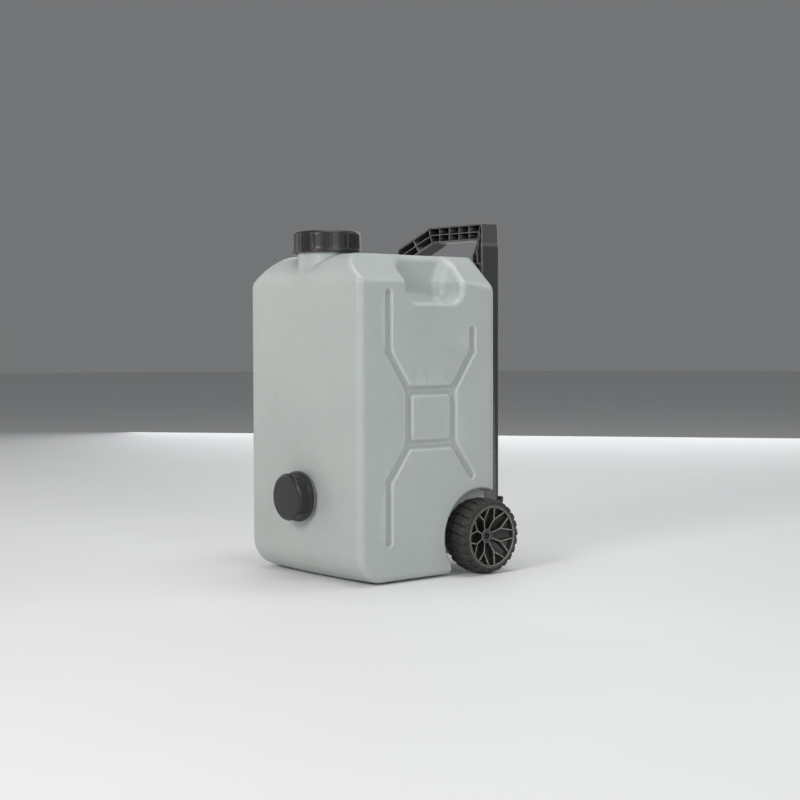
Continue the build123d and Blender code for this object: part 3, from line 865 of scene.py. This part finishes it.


# In each material the edge pair (colour, amount) lightens convex edges, partly as rubbed wear and partly as painted
# highlight, and darkens concave creases as painted shade.
mats = {
    # Tank: the pale edge colour is mostly painted highlight along the shoulder crease and the scoop rims.
    "tank": material(
        "tank_polyethylene", srgb(181, 187, 184), 0.36, dark=srgb(174, 180, 178), spec=0.5,
        grain=((700.0, 0.00010), (2600.0, 0.00003), (28.0, 0.0006)), mottle=(9.0, 0.5),
        wear_highlight_and_shade=(srgb(205, 210, 207), 0.4), bump=0.5, sss=0.06),
    "cap": material(
        "cap_polypropylene", srgb(42, 40, 39), 0.34, dark=srgb(34, 33, 32), spec=0.5,
        grain=((1500.0, 0.00006), (5000.0, 0.00002)), mottle=(30.0, 0.6), wear_highlight_and_shade=(srgb(92, 90, 88), 0.4), bump=0.5,
        scratch=0.35),
    "handle": material(
        "handle_nylon", srgb(58, 58, 58), 0.42, dark=srgb(49, 49, 49), spec=0.5,
        grain=((2200.0, 0.00008), (6000.0, 0.00003)), mottle=(24.0, 0.6), wear_highlight_and_shade=(srgb(128, 127, 124), 0.75), bump=0.6,
        scratch=0.4),
    # Wheel: the pale edge colour at full amount is mostly painted highlight on the spoke rib tops.
    "wheel": material(
        "wheel_polypropylene", srgb(52, 50, 47), 0.40, dark=srgb(42, 40, 38), spec=0.5,
        grain=((2000.0, 0.00005),), mottle=(40.0, 0.6), wear_highlight_and_shade=(srgb(150, 147, 142), 1.0), bump=0.5, scratch=0.2),
    "tyre": material(
        "tyre_rubber", srgb(48, 46, 43), 0.50, dark=srgb(38, 37, 35), spec=0.5,
        grain=((1400.0, 0.00012), (4200.0, 0.00004)), mottle=(45.0, 0.8), wear_highlight_and_shade=(srgb(84, 82, 79), 0.4), bump=0.7),
    "seal": material("seal_rubber", srgb(34, 34, 34), 0.5, grain=((1800.0, 0.00005),), mottle=(60.0, 0.6), bump=0.4),
    "nylon": material("nylon_natural", srgb(196, 194, 184), 0.4, grain=((1800.0, 0.00004),), mottle=(60.0, 0.4), bump=0.4),
    "steel": material(
        "steel_zinc", srgb(176, 178, 182), 0.33, dark=srgb(150, 152, 156), metallic=1.0,
        grain=((3000.0, 0.00003),), mottle=(90.0, 0.7), bump=0.4),
    "brass": material("brass_machined", srgb(196, 164, 96), 0.32, dark=srgb(160, 128, 70), metallic=1.0,
                      grain=((3000.0, 0.00003),), mottle=(90.0, 0.7), bump=0.4),
}
# Axle and wheel clips get a near-black colour instead of the zinc steel: painted shade inside the wheel bore.
mats["axle"] = material(
    "axle_dark_bore_shade", srgb(30, 30, 31), 0.62, dark=srgb(20, 20, 21), spec=0.15,
    grain=((2600.0, 0.00003),), mottle=(70.0, 0.7), bump=0.4)
slot_of = {s["node"]: s["material_slot"] for s in frame["record"]["subparts"]}
for name, o in frame["nodes"].items():
    o.data.materials.clear()
    o.data.materials.append(mats["axle" if name.startswith(("axle", "wheel_clip")) and slot_of[name] == "steel" else slot_of[name]])
for o, s in (
    (tank, "tank"), (handle, "handle"), (rim, "wheel"), (rim_l, "wheel"), (tyre_r, "tyre"), (tyre_l, "tyre"),
    (fcap, "cap"), (dcap, "cap"),
):
    o.data.materials.clear()
    o.data.materials.append(mats[s])

# ------------------------------------------------------------------ floor, light, camera
fm = bpy.data.materials.new("studio_floor")
fm.use_nodes = True
nt = fm.node_tree
p = nt.nodes["Principled BSDF"]
p.inputs["Roughness"].default_value = 0.75
tc = nt.nodes.new("ShaderNodeTexCoord")
nz = nt.nodes.new("ShaderNodeTexNoise")
nz.inputs["Scale"].default_value = 3.0
mr = nt.nodes.new("ShaderNodeMapRange")
mr.inputs["To Min"].default_value = 0.80
mr.inputs["To Max"].default_value = 0.84
cb = nt.nodes.new("ShaderNodeCombineColor")
nt.links.new(tc.outputs["Object"], nz.inputs["Vector"])
nt.links.new(nz.outputs["Fac"], mr.inputs["Value"])
for i in range(3):
    nt.links.new(mr.outputs[0], cb.inputs[i])
nt.links.new(cb.outputs[0], p.inputs["Base Color"])
bpy.ops.mesh.primitive_circle_add(vertices=96, radius=14.0, fill_type="NGON", location=(0, 0, -0.0002))
floor = bpy.context.active_object
floor.name = "studio_floor"
floor.data.materials.append(fm)

world = bpy.data.worlds.new("studio")
bpy.context.scene.world = world
world.use_nodes = True
world.node_tree.nodes["Background"].inputs[0].default_value = (0.86, 0.88, 0.9, 1)
world.node_tree.nodes["Background"].inputs[1].default_value = 0.2


def area(name, loc, target, size, power, colour=(1, 1, 1)):
    l = bpy.data.lights.new(name, "AREA")
    l.shape = "RECTANGLE"
    l.size, l.size_y = size
    l.energy = power
    l.color = colour
    o = bpy.data.objects.new(name, l)
    o.location = loc
    d = Vector(target) - Vector(loc)
    o.rotation_euler = d.to_track_quat("-Z", "Y").to_euler()
    bpy.context.scene.collection.objects.link(o)
    return o


area("key", (0.65, -2.5, 1.35), (0, 0, 0.27), (0.8, 0.8), 32, (1.0, 0.99, 0.955))
area("side_fill", (2.65, -0.65, 1.2), (0, 0, 0.27), (1.1, 1.1), 20, (0.94, 0.97, 1.0))
area("left_fill", (-2.3, -1.2, 0.9), (0, 0, 0.27), (1.4, 1.4), 9, (1.0, 1.0, 0.98))
area("top", (0.15, 0.1, 2.2), (0, 0, 0.3), (1.2, 1.2), 17)
area("back_right", (1.15, 1.9, 2.0), (0, 0, 0.35), (1.3, 0.9), 8, (0.97, 0.985, 1.0))
panel = area("back_panel", (-1.9, 2.3, 0.9), (0, 0, 0.3), (3.2, 1.9), 26, (0.97, 0.985, 1.0))
panel.visible_camera = False


az, pitch, roll = math.radians(39.92), math.radians(2.365), math.radians(-0.144)
fw = Vector((-math.cos(az) * math.cos(pitch), math.sin(az) * math.cos(pitch), -math.sin(pitch)))
rt = fw.cross(Vector((0, 0, 1))).normalized()
up = rt.cross(fw)
r2 = rt * math.cos(roll) + up * math.sin(roll)
u2 = up * math.cos(roll) - rt * math.sin(roll)
cam_data = bpy.data.cameras.new("photo_view")
cam_data.lens = 67.26
cam_data.sensor_width = 36.0
cam_data.clip_start = 0.05
cam = bpy.data.objects.new("photo_view", cam_data)
cam.matrix_world = Matrix(
    (
        (r2.x, u2.x, -fw.x, 1.78935),
        (r2.y, u2.y, -fw.y, -1.44276),
        (r2.z, u2.z, -fw.z, 0.35547),
        (0, 0, 0, 1),
    )
)
bpy.context.scene.collection.objects.link(cam)
bpy.context.scene.camera = cam
bpy.context.scene.view_settings.view_transform = "Standard"

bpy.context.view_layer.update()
note("scene done")
